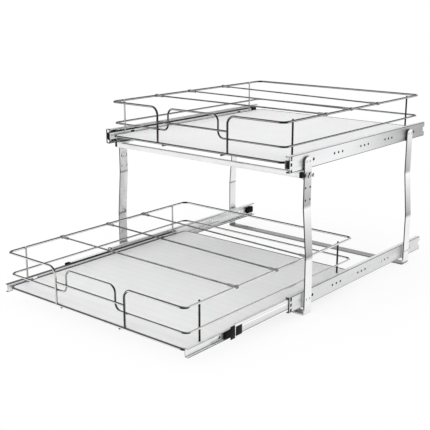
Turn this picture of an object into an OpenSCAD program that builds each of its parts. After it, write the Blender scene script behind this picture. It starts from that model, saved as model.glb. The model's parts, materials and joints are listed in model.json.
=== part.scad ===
// Two-tier pull-out basket for a base cabinet.
// X is the width, -Y is the front, Z is up. The origin is on the cabinet floor, in the middle of
// the four floor screws. Lengths are in millimetres.

/* [Frame] */
// Distance between the outer faces of the two upper rails
upper_w = 540; // [480:1:620]
// Distance between the outer faces of the two lower rails
lower_w = 555; // [495:1:640]
// Height of the lower rails' centre line above the floor
lower_rail_z = 35; // [30:0.5:60]
// Distance from the lower rails' centre line up to the upper rails'
tier_pitch = 301; // [240:1:360]
// Distance between the centres of the front and rear leg straps
leg_spacing = 446; // [360:1:480]

/* [Leg straps] */
// Width of a strap
strap_w = 25; // [20:0.5:32]
// Thickness of a strap
strap_t = 3; // [2:0.1:4]
// Inner radius of the bend at a foot
foot_bend_r = 2; // [1:0.5:5]
// Height of a leg's rounded head above the upper rail's centre line
head_rise = 10; // [6:0.5:14]
// Radius of a head's corners
head_r = 10; // [4:0.5:10]
// Height where a leg starts to lean inwards
lean_start_z = 132; // [100:1:150]
// Height where a leg is upright again
lean_end_z = 238; // [200:1:245]
// Gap between an upper rail and its leg
upper_gap = 3; // [2:0.1:5]
// Gap between a lower rail and its leg
lower_gap = 4.2; // [2:0.1:6]
// Height of the adjusting holes' top pair below the upper rail's centre line
adjust_drop = 29; // [26:0.5:32]
// Vertical pitch of the adjusting holes
adjust_pitch = 26.5; // [20:0.5:30]
// Distance between the two holes of a pair
adjust_spacing = 17; // [14:0.5:18]
// Diameter of an adjusting hole
adjust_hole_d = 5; // [4:0.1:6]
// Diameter of a floor screw hole
floor_hole_d = 5.5; // [4:0.1:7]
// Distance between the left and right floor screw holes
floor_hole_spacing = 450; // [300:1:480]

/* [Crossbar and fasteners] */
// Side of the square crossbar tube
bar_side = 11; // [9:0.5:14]
// Wall of the crossbar tube
bar_wall = 1.2; // [0.8:0.1:2]
// Thickness of a crossbar end cap's head
cap_head = 7; // [3:0.5:10]
// Length of a cap's plug inside the tube
cap_plug = 12; // [8:1:20]
// Thickness of the bracket between the crossbar and the rail
bracket_t = 3.5; // [2:0.1:5]
// Diameter of a leg screw's head
screw_head_d = 8.4; // [7:0.1:10]
// Height of a leg screw's head
screw_head_h = 8.5; // [3:0.5:8.5]
// Diameter of a rivet that holds a rail to a leg
rivet_d = 5; // [4:0.1:6]
// Distance between the two rivets of a leg
rivet_spacing = 12; // [10:0.5:15]

/* [Slides] */
// Length of a rail
rail_len = 592; // [500:1:640]
// Distance from the front leg's centre forward to the rail's front end
rail_overhang = 59; // [40:1:80]
// Height of the cabinet member
rail_h = 35; // [33:0.5:45]
// Thickness of the rails' sheet steel
sheet_t = 1.2; // [1:0.1:1.3]
// Width of a whole slide, from the cabinet side to the basket side
slide_w = 12.7; // [12.5:0.1:14]
// Depth of the cabinet member's flanges
cabinet_depth = 10; // [9.5:0.1:10.5]
// Height of the lip at the end of a cabinet flange
lip_h = 3; // [2:0.1:3.2]
// Outer corner radius of the cabinet and middle members
member_r = 2.4; // [1.6:0.1:3]
// Outer corner radius of the drawer member
drawer_r = 3.2; // [1.6:0.1:3.2]
// Gap between the webs of the cabinet and middle members
web_gap = 0.8; // [0.7:0.1:1]
// Height of the middle member
middle_h = 27.4; // [26.8:0.1:28]
// Depth where the middle member's flanges end, from the cabinet side
middle_depth = 11; // [10.5:0.1:11.2]
// Height of the drawer member
drawer_h = 18.6; // [18:0.1:19]
// Depth where the drawer member's flanges start, from the cabinet side
drawer_start = 4.7; // [4.5:0.1:5.5]
// Length of a middle member's plastic stop ahead of its steel
stop_len = 28; // [16:1:34]
// Length of the window in a middle member's web that shows the stop's root
stop_window = 20; // [12:1:24]
// Length of a rear bumper
bumper_len = 28; // [16:1:32]
// Distance of a release lever's front end behind the rails' front end
lever_y = 74; // [60:1:80]
// Length of a release lever
lever_len = 26; // [18:1:34]
// Share of a basket's travel that its left middle members make; they float between their stops
left_middle_share = 0.5; // [0.5:0.01:0.66]
// Share of a basket's travel that its right middle members make
right_middle_share = 0.66; // [0.5:0.01:0.66]

/* [Ball cages] */
// Length of a ball cage
cage_len = 200; // [150:5:210]
// Balls in one row of a cage
balls_per_row = 8; // [4:1:9]
// Diameter of the outer balls
outer_ball_d = 3; // [2.8:0.1:3.2]
// Diameter of the inner balls
inner_ball_d = 3.6; // [3.4:0.1:3.8]
// Clearance between a ball and its groove
ball_clearance = 0.1; // [0.05:0.01:0.15]

/* [Rail holes] */
// Diameter of a fixing hole in a cabinet member
fix_hole_d = 5.8; // [4:0.1:6.4]
// Pitch of the holes in a group of three
fix_hole_pitch = 16.5; // [10:0.5:20]
// Distance between the groups of three
fix_group_pitch = 111; // [60:1:120]
// Distance of the single fixing holes behind the legs' centres
fix_single_y = 28; // [20:1:34]
// Diameter of the single fixing holes
fix_single_d = 7; // [4:0.1:8]
// Distance of the slots in a rail's web behind its front end
end_slot_y = 5.5; // [4.5:0.5:8]
// Length of those slots
end_slot_w = 6; // [3:0.5:8]
// Vertical pitch of those slots
end_slot_pitch = 12.2; // [9:0.2:12.6]
// Height of the middle one of those slots
end_slot_h = 7; // [4:0.5:7]
// Depth of the notch in a rail's rear end
end_notch = 7; // [4:0.5:10]

/* [Baskets] */
// Distance that the lower basket stands pulled out
lower_out = 316; // [0:1:400]
// Distance from the rails' front end back to the basket's front wire
basket_setback = 5; // [3:0.5:20]
// Depth of a basket between its front and rear wires
basket_len = 583; // [480:1:584]
// Diameter of the rim and bottom frame wires
wire_d = 5; // [4.5:0.1:6]
// Diameter of the middle wires, posts and handle bars
side_wire_d = 4.2; // [3.6:0.1:4.4]
// Diameter of the floor's cross wires
cross_wire_d = 3; // [2:0.1:3.5]
// Diameter of the two wires under the floor
under_wire_d = 4; // [3:0.1:5]
// Spaces between the floor's cross wires
floor_spaces = 23; // [12:1:30]
// Distance between the two wires under the floor
under_wire_spacing = 175; // [100:1:300]
// Gap between the lower basket's side wires and its slides
lower_side_gap = 0.3; // [0.2:0.1:6]
// Gap between the upper basket's side wires and its slides
upper_side_gap = 4; // [0.2:0.1:6]
// Height of the top rim above the slide's centre line
rim_rise = 84; // [70:1:110]
// Height of the middle wire above the slide's centre line
mid_rise = 33; // [22:1:40]
// Height of the bottom frame above the slide's centre line
frame_rise = 1.5; // [0:0.1:3]
// Radius of the baskets' corners
corner_r = 12; // [8:0.5:30]
// Depth that welded wires sink into each other
weld = 0.3; // [0.1:0.05:0.5]
// Distance of the lower basket's front posts behind the front wire
lower_post_y = 45; // [30:1:60]
// Distance of the upper basket's front posts behind the front wire
upper_post_y = 36; // [30:1:60]
// Distance of the rear posts ahead of the rear wire
rear_post_y = 55; // [40:1:70]
// Height of a post's tip above the rim's centre line
post_tip = 3.5; // [2.5:0.1:5]
// Distance of a basket's fixing tabs from its front and rear wires
tab_inset = 120; // [110:1:180]
// Length of a fixing tab
tab_w = 16; // [12:0.5:24]
// Height of a fixing tab
tab_h = 8; // [7:0.1:8.4]
// Diameter of a basket screw
basket_screw_d = 4; // [3:0.1:4.2]
// Diameter of a basket screw's head
basket_head_d = 4.6; // [4.2:0.1:4.8]
// Height of a basket screw's head
basket_head_h = 1.8; // [1:0.1:2]

/* [Basket front] */
// Distance of the front loops' uprights from the middle
loop_x = 103; // [95:1:130]
// Radius of the front loops' bends
loop_r = 18; // [10:1:25]
// Distance of the handle arch's uprights from the middle
arch_x = 73.5; // [50:0.5:80]
// Radius of the handle arch's bends
arch_r = 15; // [8:0.5:16]
// Height of the arch's top below the rim's centre line
arch_drop = 1; // [0:0.5:6]
// Height of the straight handle bar above the slide's centre line
bar_rise = 50.5; // [48:0.5:58]

/* [Liner] */
// Thickness of the floor liner
liner_t = 1.5; // [1:0.1:1.8]
// Gap between the liner and the wires round it
liner_gap = 0.5; // [0.3:0.1:2]

/* [Dividers] */
// Diameter of a divider rod
rod_d = 3.6; // [2.5:0.1:4]
// Diameter of a clip's sleeve
sleeve_d = 6; // [5.2:0.1:6.4]
// Length of a clip's sleeve
sleeve_len = 18; // [12:1:25]
// Wall of the clip's hook over the rim wire
hook_wall = 1.5; // [1.2:0.1:2.5]
// Width of the hook along the rim wire
hook_w = 7; // [7:0.5:10]
// Clearance between the hook and the rim wire
hook_clearance = 0.25; // [0.15:0.05:0.4]
// Distances of the lower dividers' middles behind the front wire
lower_divider_y = [152, 291, 410];
// Distances by which the lower dividers' right ends stand further forward
lower_divider_skew = [4, 17, 25];
// Distances of the upper dividers' middles behind the front wire
upper_divider_y = [154, 267, 396];
// Distances by which the upper dividers' right ends stand further forward
upper_divider_skew = [0, 22, 42];

/* [Hidden] */
$fn = 32;
lower = 0;
upper = 1;
left = -1;
right = 1;
eps = 0.01; // overlap of a cutter past the face it cuts
fit = 0.05; // radial clearance of a screw, rivet or rod in its hole

half_w = [lower_w / 2, upper_w / 2];
slide_z = [lower_rail_z, lower_rail_z + tier_pitch];
leg_y = leg_spacing / 2;
rail_front = -leg_y - rail_overhang;
rail_rear = rail_front + rail_len;
basket_y = [rail_front + basket_setback - lower_out, rail_front + basket_setback];
pulled = [lower_out, 0];

// The leg straps' faces
upper_leg_in = half_w[upper] + upper_gap;
upper_leg_out = upper_leg_in + strap_t;
lower_leg_in = half_w[lower] + lower_gap;
lower_leg_out = lower_leg_in + strap_t;
head_z = slide_z[upper] + head_rise;
foot_r = foot_bend_r + strap_t;
adjust_z = slide_z[upper] - adjust_drop;
bracket_z = slide_z[upper] - rail_h / 2;
bar_top = bracket_z - bracket_t;
bar_rear_y = -leg_y - strap_w / 2 - 1;
bracket_w = 18; // width of a bracket's tab under the rail
bracket_drop = 20; // height of the bracket's plate
through = 1; // reach of a cutter past both faces of what it pierces
bracket_rear_y = -leg_y + strap_w / 2 + 3;
screw_tip = 4; // length of a leg screw past its bracket

// Heights and depths in a slide's section; depth 0 is the cabinet side
cabinet_half = rail_h / 2;
middle_half = middle_h / 2;
drawer_half = drawer_h / 2;
middle_web = sheet_t + web_gap;
outer_row_v = (cabinet_half - sheet_t + middle_half) / 2;
outer_row_u = 6.3;
inner_row_v = (middle_half - sheet_t + drawer_half) / 2;
inner_row_u = 7;
cage_t = 1.2;
outer_cage_web = [sheet_t + 0.15, middle_web - 0.15];
outer_cage_depth = cabinet_depth - sheet_t - 0.4;
inner_cage_web = [middle_web + sheet_t + 0.3, middle_web + sheet_t + 0.8];
inner_cage_depth = 9.6;
nose_half = drawer_half - sheet_t - 0.8;
nose_depth = 9;
window_half = 10; // window in a middle member's web
window_rim = 2; // steel left ahead of the window
bumper_y = rail_rear - bumper_len - 6;
bumper_half = 8.5;
bumper_depth = [middle_web + sheet_t + 0.4, 9.5];
stem_half = 6.4;
drawer_rear = bumper_y - 1;
lever_depth = 2; // room for the lever between the passing stop and the drawer member's web
lever_t = 1.6;
lever_bend_r = 5;

// The wires
wire_r = wire_d / 2;
basket_half = [
    half_w[lower] - slide_w - lower_side_gap - wire_r,
    half_w[upper] - slide_w - upper_side_gap - wire_r
];
step = (wire_d + side_wire_d) / 2 - weld; // between a rim or frame wire and a side wire welded to it
side_step = side_wire_d - weld;
mid_half = [basket_half[lower] - step + side_step, basket_half[upper] - step + side_step];
cross_z = frame_rise - wire_r + cross_wire_d / 2;
under_z = frame_rise - wire_r - under_wire_d / 2 + weld;
liner_z = cross_z + cross_wire_d / 2 + 0.05;
arch_z = rim_rise - arch_drop;
post_y = [[lower_post_y, basket_len - rear_post_y], [upper_post_y, basket_len - rear_post_y]];
tab_y = [tab_inset, basket_len - tab_inset];
tab_z = frame_rise - wire_r + weld - tab_h;
basket_screw_z = tab_z + tab_h - 3.2;
slot_len = 12; // stamped slots in a drawer member's web
slot_h = 4;
slot_z = drawer_half / 2;
slot_y = [tab_inset - 3 * tab_w, basket_len - tab_inset + 2 * tab_w];
divider_y = [lower_divider_y, upper_divider_y];
divider_skew = [lower_divider_skew, upper_divider_skew];

// ---- round bars and bends ----

module bar_x(x0, x1, y, z, d) {
    translate([x0, y, z]) rotate([0, 90, 0]) cylinder(d = d, h = x1 - x0);
}

module bar_y(x, y0, y1, z, d) {
    translate([x, y1, z]) rotate([90, 0, 0]) cylinder(d = d, h = y1 - y0);
}

module bar_z(x, y, z0, z1, d) {
    translate([x, y, z0]) cylinder(d = d, h = z1 - z0);
}

// A quarter bend round centre, starting at the angle from
module quarter(r, d, from) {
    rotate([0, 0, from]) rotate_extrude(angle = 90) translate([r, 0]) circle(d = d);
}

// A quarter bend in the XY plane
module bend_xy(x, y, z, r, d, from) {
    translate([x, y, z]) quarter(r, d, from);
}

// A quarter bend in the XZ plane
module bend_xz(x, y, z, r, d, from) {
    translate([x, y, z]) rotate([90, 0, 0]) quarter(r, d, from);
}

// Both rear corners, both sides and the rear of a wire that runs round a basket from y0
module wire_round(half, y0, z, d) {
    for (s = [left, right]) {
        inner_x = s * (half - corner_r);
        bend_xy(inner_x, y0 + corner_r, z, corner_r, d, s > 0 ? 270 : 180);
        bar_y(s * half, y0 + corner_r, basket_len - corner_r, z, d);
        bend_xy(inner_x, basket_len - corner_r, z, corner_r, d, s > 0 ? 0 : 90);
    }
    bar_x(-half + corner_r, half - corner_r, basket_len, z, d);
}

// ---- the fixed frame ----

// A leg strap's outline from the front: foot bend, upright, lean and upright
module leg_outline() {
    intersection() {
        translate([lower_leg_out - foot_r, foot_r]) difference() {
            circle(r = foot_r);
            circle(r = foot_bend_r);
        }
        translate([lower_leg_out - foot_r, 0]) square(foot_r);
    }
    polygon([
        [lower_leg_in, foot_r],
        [lower_leg_out, foot_r],
        [lower_leg_out, lean_start_z],
        [upper_leg_out, lean_end_z],
        [upper_leg_out, head_z],
        [upper_leg_in, head_z],
        [upper_leg_in, lean_end_z],
        [lower_leg_in, lean_start_z]
    ]);
}

module hoop_outline() {
    half_base = lower_leg_out - foot_r;
    translate([-half_base, 0]) square([2 * half_base, strap_t]);
    leg_outline();
    mirror([1, 0]) leg_outline();
}

// A strap's outline from the side, with its rounded head
module head_outline(h, r) {
    translate([-strap_w / 2, 0]) square([strap_w, h - r]);
    translate([-strap_w / 2 + r, 0]) square([strap_w - 2 * r, h]);
    for (s = [-1, 1]) translate([s * (strap_w / 2 - r), h - r]) circle(r = r);
}

module side_plate(x0, x1) {
    translate([x0, 0, 0]) rotate([90, 0, 90]) linear_extrude(x1 - x0) children();
}

module rivet_holes(y, d) {
    for (s = [-1, 1], z = slide_z) {
        bar_x(-lower_leg_out - through, lower_leg_out + through, y + s * rivet_spacing / 2, z, d);
    }
}

module leg_hoop(y) {
    color("gainsboro") difference() {
        intersection() {
            translate([0, y + strap_w / 2, 0]) rotate([90, 0, 0]) linear_extrude(strap_w) hoop_outline();
            translate([0, y, 0]) side_plate(-lower_leg_out - through, lower_leg_out + through)
                head_outline(head_z, head_r);
        }
        rivet_holes(y, rivet_d + 2 * fit);
        for (s = [left, right]) {
            bar_z(s * floor_hole_spacing / 2, y, -through, strap_t + through, floor_hole_d);
        }
    }
}

module front_leg_hoop() {
    color("gainsboro") difference() {
        leg_hoop(-leg_y);
        for (n = [0:2], s = [-1, 1]) {
            bar_x(-upper_leg_out - through, upper_leg_out + through, -leg_y + s * adjust_spacing / 2,
                adjust_z - n * adjust_pitch, adjust_hole_d + 2 * fit);
        }
    }
}

module rear_leg_hoop() {
    leg_hoop(leg_y);
}

module upper_crossbar() {
    color("gainsboro") translate([-half_w[upper], bar_rear_y - bar_side, bar_top - bar_side]) difference() {
        cube([upper_w, bar_side, bar_side]);
        translate([-through, bar_wall, bar_wall])
            cube([upper_w + 2 * through, bar_side - 2 * bar_wall, bar_side - 2 * bar_wall]);
    }
}

module crossbar_end_caps() {
    plug = bar_side - 2 * bar_wall - 2 * fit;
    color("black") for (s = [left, right]) {
        translate([s * half_w[upper], bar_rear_y - bar_side / 2, bar_top - bar_side / 2]) {
            translate([s * cap_head / 2, 0, 0]) cube([cap_head, bar_side, bar_side], center = true);
            translate([-s * cap_plug / 2, 0, 0]) cube([cap_plug, plug, plug], center = true);
        }
    }
}

// Angle brackets that carry the upper rails on the front legs, over the crossbar's ends
module rail_brackets() {
    color("silver") for (s = [0, 1]) mirror([s, 0, 0]) difference() {
        union() {
            translate([half_w[upper] - bracket_w, bar_rear_y - bar_side, bar_top])
                cube([bracket_w, bracket_rear_y - bar_rear_y + bar_side, bracket_t]);
            translate([half_w[upper], bar_rear_y, bracket_z - bracket_drop])
                cube([upper_gap, bracket_rear_y - bar_rear_y, bracket_drop]);
        }
        for (t = [-1, 1]) {
            bar_x(half_w[upper] - through, upper_leg_in + through, -leg_y + t * adjust_spacing / 2, adjust_z,
                adjust_hole_d + 2 * fit);
        }
    }
}

// Four leg screws and the rivets that hold the rails
module frame_fasteners() {
    color("lightgray") {
        for (s = [0, 1], t = [-1, 1]) mirror([s, 0, 0]) {
            y = -leg_y + t * adjust_spacing / 2;
            bar_x(half_w[upper] - screw_tip, upper_leg_out, y, adjust_z, adjust_hole_d);
            bar_x(upper_leg_out, upper_leg_out + screw_head_h, y, adjust_z, screw_head_d);
        }
        for (s = [0, 1], t = [-1, 1], y = [-leg_y, leg_y]) mirror([s, 0, 0]) {
            bar_x(half_w[upper] - sheet_t, upper_leg_out, y + t * rivet_spacing / 2, slide_z[upper], rivet_d);
            bar_x(half_w[lower] - sheet_t, lower_leg_out, y + t * rivet_spacing / 2, slide_z[lower], rivet_d);
        }
    }
}

// Plastic spacers between the rails and the legs
module rail_spacers() {
    color("dimgray") for (s = [0, 1], y = [-leg_y, leg_y]) mirror([s, 0, 0]) difference() {
        translate([0, y, 0]) {
            translate([0, 0, bracket_z]) side_plate(half_w[upper], upper_leg_in)
                head_outline(head_z - bracket_z, head_r);
            translate([half_w[lower], -strap_w / 2, slide_z[lower] - rail_h / 2])
                cube([lower_gap, strap_w, rail_h]);
        }
        rivet_holes(y, rivet_d + 2 * fit);
    }
}

// ---- the slides; a section is drawn with its depth along X and its height along Y ----

function middle_share(side) = side > 0 ? right_middle_share : left_middle_share;

// Draws a slide's part at its tier and side
module on_rail(tier, side) {
    translate([side * half_w[tier], 0, slide_z[tier]]) {
        if (side > 0) mirror([1, 0, 0]) children();
        else children();
    }
}

module along_y(y0, y1) {
    translate([0, y1, 0]) rotate([90, 0, 0]) linear_extrude(y1 - y0) children();
}

// A block from depth u0 to u1 with its two corners at u0 rounded
module rounded_block(u0, u1, half, r) {
    translate([u0 + r, -half]) square([u1 - u0 - r, 2 * half]);
    translate([u0, -half + r]) square([r, 2 * (half - r)]);
    for (s = [-1, 1]) translate([u0 + r, s * (half - r)]) circle(r = r);
}

// A channel with its web at depth u0 and its flanges out to u1
module channel(u0, u1, half, t, r) {
    difference() {
        rounded_block(u0, u1, half, r);
        rounded_block(u0 + t, u1 + through, half - t, r - t);
    }
}

module outer_grooves() {
    for (s = [-1, 1]) translate([outer_row_u, s * outer_row_v]) circle(d = outer_ball_d + 2 * ball_clearance);
}

module inner_grooves() {
    for (s = [-1, 1]) translate([inner_row_u, s * inner_row_v]) circle(d = inner_ball_d + 2 * ball_clearance);
}

module cabinet_section() {
    difference() {
        union() {
            channel(0, cabinet_depth, cabinet_half, sheet_t, member_r);
            for (s = [0, 1]) mirror([0, s]) {
                translate([cabinet_depth - sheet_t, cabinet_half - lip_h]) square([sheet_t, lip_h]);
            }
        }
        outer_grooves();
    }
}

module middle_section() {
    difference() {
        channel(middle_web, middle_depth, middle_half, sheet_t, member_r);
        outer_grooves();
        inner_grooves();
    }
}

module drawer_section() {
    difference() {
        translate([slide_w, 0]) mirror([1, 0])
            channel(0, slide_w - drawer_start, drawer_half, sheet_t, drawer_r);
        inner_grooves();
    }
}

// Fixing holes and slots through a cabinet member's web
module web_hole(y, v, d) {
    bar_x(-through, sheet_t + through, y, v, d);
}

module web_slot(u, y, v, len, h) {
    translate([u - through, y - len / 2, v - h / 2]) cube([sheet_t + 2 * through, len, h]);
}

module cabinet_member(tier, side) {
    mid_y = (rail_front + rail_rear) / 2;
    outer_slot_h = end_slot_h + 1;
    color("silver") on_rail(tier, side) difference() {
        along_y(rail_front, rail_rear) cabinet_section();
        for (g = [-1:1], n = [-1:1]) web_hole(mid_y + g * fix_group_pitch + n * fix_hole_pitch, 0, fix_hole_d);
        for (y = [-leg_y, leg_y]) web_hole(y + fix_single_y, 0, fix_single_d);
        for (v = [-1, 1]) {
            web_slot(0, rail_front + end_slot_y, v * end_slot_pitch, end_slot_w, outer_slot_h);
        }
        web_slot(0, rail_front + end_slot_y, 0, end_slot_w, end_slot_h);
        web_slot(0, rail_rear, 0, 2 * end_notch, 2 * stem_half - sheet_t);
        for (s = [-1, 1], y = [-leg_y, leg_y]) web_hole(y + s * rivet_spacing / 2, 0, rivet_d + 2 * fit);
    }
}

// Rubber stops at the rear ends of the four cabinet members
module rear_bumpers() {
    color("black") for (tier = [lower, upper], side = [left, right]) on_rail(tier, side) {
        translate([bumper_depth[0], bumper_y, -bumper_half])
            cube([bumper_depth[1] - bumper_depth[0], bumper_len, 2 * bumper_half]);
        translate([sheet_t, bumper_y, -stem_half]) cube([bumper_depth[0] - sheet_t, bumper_len, 2 * stem_half]);
    }
}

module middle_member(tier, side) {
    y = -pulled[tier] * middle_share(side);
    steel_y = rail_front + stop_len;
    notch_half = stem_half + 0.4;
    color("silver") on_rail(tier, side) translate([0, y, 0]) difference() {
        along_y(steel_y, rail_rear) middle_section();
        translate([middle_web - through, bumper_y - 1, -notch_half])
            cube([sheet_t + 2 * through, rail_len, 2 * notch_half]);
        translate([middle_web - through, steel_y + window_rim, -window_half])
            cube([sheet_t + 2 * through, stop_window, 2 * window_half]);
    }
}

// Plastic stop at a middle member's front end: nose, wings and the root behind the web's window
module middle_stop(tier, side) {
    y = rail_front - pulled[tier] * middle_share(side);
    inside = middle_web + sheet_t;
    wing_len = stop_len * 0.45;
    wing_half = middle_half - 0.4;
    root_len = stop_window + 2 * window_rim;
    play = 0.2;
    color("black") on_rail(tier, side) translate([0, y, 0]) {
        translate([middle_web, 0, -nose_half]) cube([nose_depth - middle_web, stop_len, 2 * nose_half]);
        translate([middle_web, stop_len - wing_len, -wing_half])
            cube([drawer_start - middle_web - 0.8, wing_len, 2 * wing_half]);
        translate([inside, stop_len - eps, -nose_half]) cube([nose_depth - inside, root_len, 2 * nose_half]);
        translate([middle_web + play, stop_len + window_rim + play, play - window_half])
            cube([sheet_t, stop_window - 2 * play, 2 * (window_half - play)]);
    }
}

// A cage: a channel of thin sheet with its balls
module ball_cage(tier, side, share, web, depth, row_u, row_v, ball_d) {
    y = -pulled[tier] * share;
    half = row_v + cage_t / 2;
    pitch = cage_len / balls_per_row;
    centre = (rail_front + rail_rear) / 2;
    color("dimgray") on_rail(tier, side) translate([0, centre + y, 0]) {
        difference() {
            along_y(-cage_len / 2, cage_len / 2) difference() {
                translate([web[0], -half]) square([depth - web[0], 2 * half]);
                translate([web[1], -half + cage_t]) square([depth, 2 * half - 2 * cage_t]);
            }
            for (n = [0:balls_per_row - 1], s = [-1, 1]) {
                bar_z(row_u, (n + 0.5) * pitch - cage_len / 2, s * row_v - cage_t, s * row_v + cage_t,
                    ball_d + 2 * ball_clearance);
            }
        }
        for (n = [0:balls_per_row - 1], s = [-1, 1]) {
            translate([row_u, (n + 0.5) * pitch - cage_len / 2, s * row_v]) sphere(d = ball_d);
        }
    }
}

module outer_ball_cage(tier, side) {
    ball_cage(tier, side, middle_share(side) / 2, outer_cage_web, outer_cage_depth, outer_row_u,
        outer_row_v, outer_ball_d);
}

module inner_ball_cage(tier, side) {
    ball_cage(tier, side, (1 + middle_share(side)) / 2, inner_cage_web, inner_cage_depth, inner_row_u,
        inner_row_v, inner_ball_d);
}

// ---- the baskets; y runs from the front wire and z from the slide's centre line ----

module in_basket(tier) {
    translate([0, basket_y[tier], slide_z[tier]]) children();
}

module drawer_member(tier, side) {
    web_u = slide_w - sheet_t;
    color("silver") on_rail(tier, side) translate([0, basket_y[tier], 0]) difference() {
        along_y(-basket_setback, drawer_rear - basket_y[upper]) drawer_section();
        for (y = tab_y) {
            bar_x(web_u - through, slide_w + through, y, basket_screw_z, basket_screw_d + 2 * fit);
        }
        for (y = slot_y) web_slot(web_u, y, slot_z, slot_len, slot_h);
    }
}

// Release levers: thin strips with a curled end, against the drawer members' webs
module release_levers(tier) {
    y1 = lever_y + lever_len - lever_bend_r - lever_t;
    floor_v = drawer_r - drawer_half;
    web_u = slide_w - sheet_t;
    color("black") for (side = [left, right]) on_rail(tier, side) {
        translate([web_u - lever_depth, rail_front - pulled[tier], 0])
            side_plate(0, lever_depth) {
                translate([lever_y, floor_v]) square([y1 - lever_y, lever_t]);
                translate([y1, floor_v + lever_t + lever_bend_r]) intersection() {
                    difference() {
                        circle(r = lever_bend_r + lever_t);
                        circle(r = lever_bend_r);
                    }
                    translate([0, -lever_bend_r - lever_t]) square(lever_bend_r + lever_t);
                }
            }
    }
}

// Rim wire: up from the bottom frame, over the front loops and round the basket's top, with the
// handle bar between the loops
module rim_wire(tier) {
    half = basket_half[tier];
    color("gainsboro") in_basket(tier) {
        wire_round(half, 0, rim_rise, wire_d);
        for (s = [left, right]) {
            bar_z(s * loop_x, 0, frame_rise + wire_r - weld, rim_rise - loop_r, wire_d);
            bend_xz(s * (loop_x + loop_r), 0, rim_rise - loop_r, loop_r, wire_d, s > 0 ? 90 : 0);
        }
        bar_x(loop_x + loop_r, half - corner_r, 0, rim_rise, wire_d);
        bar_x(-half + corner_r, -loop_x - loop_r, 0, rim_rise, wire_d);
        bar_x(-loop_x, loop_x, step - side_step, bar_rise, side_wire_d);
    }
}

// Middle wire: round the basket, and up over the handle arch at the front
module middle_wire(tier) {
    half = mid_half[tier];
    d = side_wire_d;
    color("gainsboro") in_basket(tier) {
        wire_round(half, step, mid_rise, d);
        for (s = [left, right]) {
            bend_xz(s * (arch_x + arch_r), step, mid_rise + arch_r, arch_r, d, s > 0 ? 180 : 270);
            bar_z(s * arch_x, step, mid_rise + arch_r, arch_z - arch_r, d);
            bend_xz(s * (arch_x - arch_r), step, arch_z - arch_r, arch_r, d, s > 0 ? 0 : 90);
        }
        bar_x(arch_x + arch_r, half - corner_r, step, mid_rise, d);
        bar_x(-half + corner_r, -arch_x - arch_r, step, mid_rise, d);
        bar_x(-arch_x + arch_r, arch_x - arch_r, step, arch_z, d);
    }
}

// Bottom frame with the four tabs that the drawer members are screwed to
module bottom_frame(tier) {
    half = basket_half[tier];
    web_x = half_w[tier] - slide_w;
    color("gainsboro") in_basket(tier) difference() {
        union() {
            wire_round(half, 0, frame_rise, wire_d);
            bar_x(-half + corner_r, half - corner_r, 0, frame_rise, wire_d);
            for (s = [0, 1], y = tab_y) mirror([s, 0, 0]) {
                translate([half - wire_r, y - tab_w / 2, tab_z]) cube([web_x - half + wire_r, tab_w, tab_h]);
            }
        }
        for (y = tab_y) {
            bar_x(-web_x - through, web_x + through, y, basket_screw_z, basket_screw_d + 2 * fit);
        }
    }
}

module basket_screws(tier) {
    web_x = half_w[tier] - slide_w;
    color("lightgray") in_basket(tier) for (s = [0, 1], y = tab_y) mirror([s, 0, 0]) {
        bar_x(basket_half[tier] - wire_r, web_x + sheet_t, y, basket_screw_z, basket_screw_d);
        bar_x(web_x + sheet_t, web_x + sheet_t + basket_head_h, y, basket_screw_z, basket_head_d);
    }
}

module posts(tier) {
    color("gainsboro") in_basket(tier) for (s = [left, right], y = post_y[tier]) {
        bar_z(s * (basket_half[tier] - step), y, frame_rise - wire_r, rim_rise + post_tip, side_wire_d);
    }
}

// Cross wires and the two wires under them
module floor_wires(tier) {
    reach = basket_half[tier] - wire_r + weld;
    pitch = basket_len / floor_spaces;
    color("gainsboro") in_basket(tier) {
        for (n = [1:floor_spaces - 1]) bar_x(-reach, reach, n * pitch, cross_z, cross_wire_d);
        for (s = [left, right]) {
            bar_y(s * under_wire_spacing / 2, -wire_d * 0.6, basket_len + wire_d * 0.6, under_z, under_wire_d);
        }
    }
}

module liner(tier) {
    half = basket_half[tier] - wire_r - liner_gap;
    y0 = wire_r + liner_gap;
    y1 = basket_len - y0;
    r = corner_r - wire_r;
    color("whitesmoke") in_basket(tier) translate([0, 0, liner_z]) linear_extrude(liner_t) difference() {
        union() {
            translate([-half, y0 + r]) square([2 * half, y1 - y0 - 2 * r]);
            translate([-half + r, y0]) square([2 * half - 2 * r, y1 - y0]);
            for (s = [-1, 1], y = [y0 + r, y1 - r]) translate([s * (half - r), y]) circle(r = r);
        }
        for (s = [-1, 1], y = post_y[tier]) {
            translate([s * (basket_half[tier] - step), y]) circle(r = side_wire_d / 2 + liner_gap);
        }
    }
}

// Draws a divider's part along X, turned so that the right end stands further forward
module in_divider(tier, n) {
    turn = atan(divider_skew[tier][n] / (2 * basket_half[tier]));
    in_basket(tier) translate([0, divider_y[tier][n], 0]) rotate([0, 0, -turn]) children();
}

module divider_rod(tier, n) {
    reach = basket_half[tier] - wire_r - hook_wall - 2;
    color("gainsboro") in_divider(tier, n) bar_x(-reach, reach, 0, rim_rise, rod_d);
}

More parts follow.
